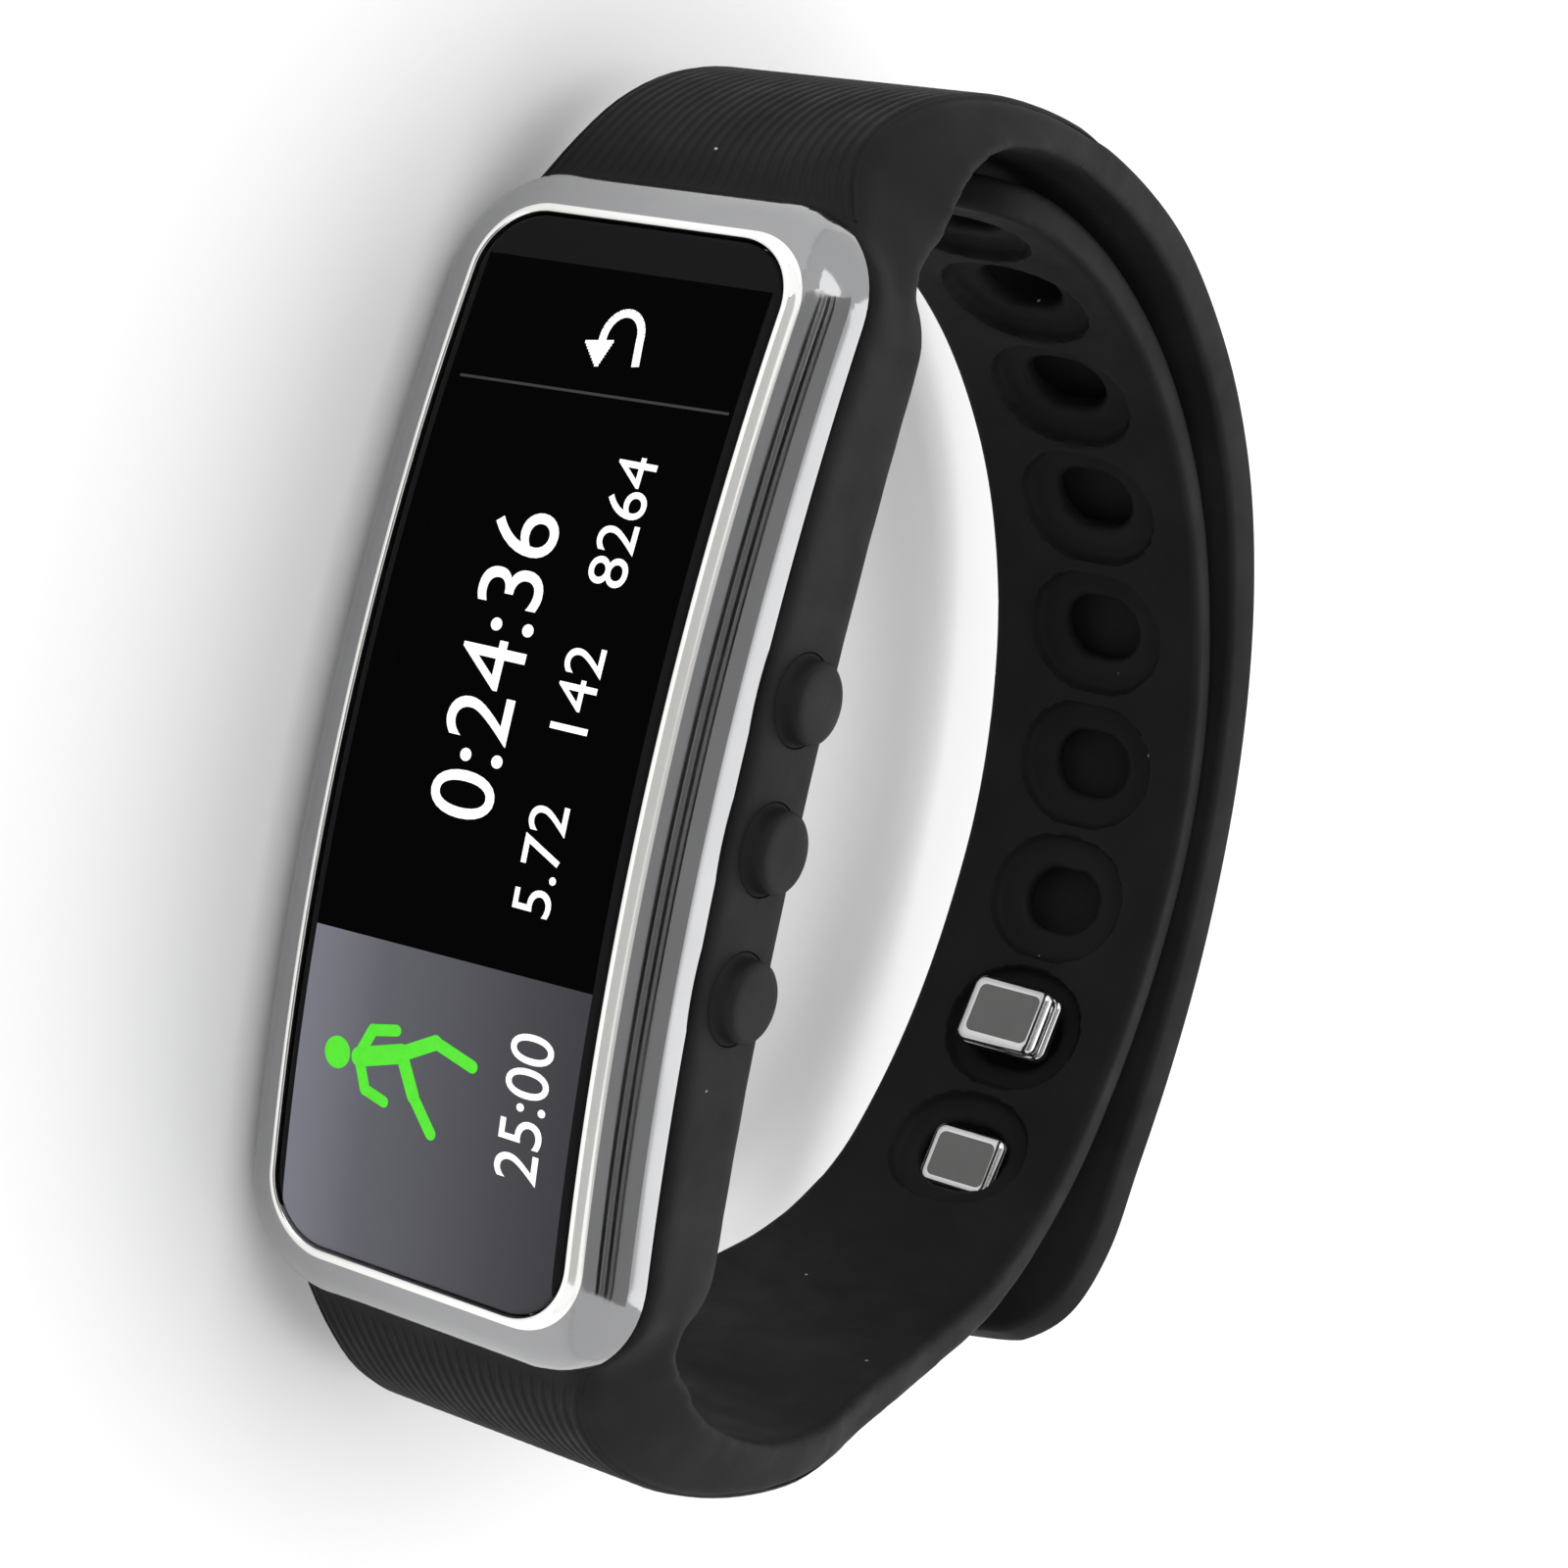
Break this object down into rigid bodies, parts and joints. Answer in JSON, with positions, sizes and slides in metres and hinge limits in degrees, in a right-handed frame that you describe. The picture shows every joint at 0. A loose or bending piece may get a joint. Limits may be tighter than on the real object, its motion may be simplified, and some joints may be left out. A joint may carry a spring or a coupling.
{
  "type": "fitness tracker band",
  "caption": "Fitness tracker: a curved display module with a metal bezel and side buttons in a ribbed rubber band, closed by a studded clasp through slotted holes.",
  "frame": {"origin": "centre of the bounding box's bottom, on the surface the band lies on with its side", "axes": "+Z along the axis of the wrist loop, towards the buttons; +X along the display, towards the holed strap; the display faces -Y"},
  "size_m": [0.0716, 0.0639, 0.0256],
  "materials": {
    "band_rubber": "satin",
    "bezel_chrome": "polished",
    "lens_glass": "gloss",
    "black_plastic": "satin",
    "button_rubber": "satin",
    "panel_black": "gloss",
    "frame_steel": "satin",
    "board_green": "matte",
    "chip_black": "matte",
    "battery_foil": "satin",
    "flex_amber": "satin",
    "pad_silicone": "matte",
    "contact_gold": "polished"
  },
  "bodies": {
    "case": {"case_sleeve": "band_rubber", "bezel": "bezel_chrome", "lens": "lens_glass", "display_panel": "panel_black", "display_flex": "flex_amber", "mid_frame": "frame_steel", "battery": "battery_foil", "battery_pad": "pad_silicone", "main_board": "board_green", "processor_chip": "chip_black", "radio_chip": "chip_black", "motion_chip": "chip_black", "vibration_motor": "frame_steel", "tact_switch_1": "frame_steel", "tact_switch_2": "frame_steel", "tact_switch_3": "frame_steel", "back_cover": "black_plastic", "charge_contact_1": "contact_gold", "charge_contact_2": "contact_gold", "cover_screw_1": "frame_steel", "cover_screw_2": "frame_steel", "cover_screw_3": "frame_steel", "cover_screw_4": "frame_steel", "holed_strap": "band_rubber", "outer_strap": "band_rubber"},
    "tail": {"strap_tail": "band_rubber", "clasp_plate": "bezel_chrome", "clasp_stud_1": "bezel_chrome", "clasp_stud_2": "bezel_chrome"},
    "tip": {"strap_tip": "band_rubber"},
    "button_1": {"button_cap_1": "button_rubber"},
    "button_2": {"button_cap_2": "button_rubber"},
    "button_3": {"button_cap_3": "button_rubber"}
  },
  "joints": [
    {"name": "tail_peel", "type": "hinge", "parent": "case", "child": "tail", "pos_m": [-0.00326, 0.03098, 0.0122], "axis": [0, 0, 1], "range_deg": [0, 65], "stiffness_Nm_per_rad": 0.02},
    {"name": "tip_lift", "type": "hinge", "parent": "case", "child": "tip", "pos_m": [-0.02195, 0.01661, 0.0122], "axis": [0, 0, 1], "range_deg": [0, 25], "stiffness_Nm_per_rad": 0.02},
    {"name": "button_1_press", "type": "slide", "parent": "case", "child": "button_1", "axis": [0, 0, -1], "range_m": [0, 0.0005], "stiffness_N_per_m": 600},
    {"name": "button_2_press", "type": "slide", "parent": "case", "child": "button_2", "axis": [0, 0, -1], "range_m": [0, 0.0005], "stiffness_N_per_m": 600},
    {"name": "button_3_press", "type": "slide", "parent": "case", "child": "button_3", "axis": [0, 0, -1], "range_m": [0, 0.0005], "stiffness_N_per_m": 600}
  ]
}
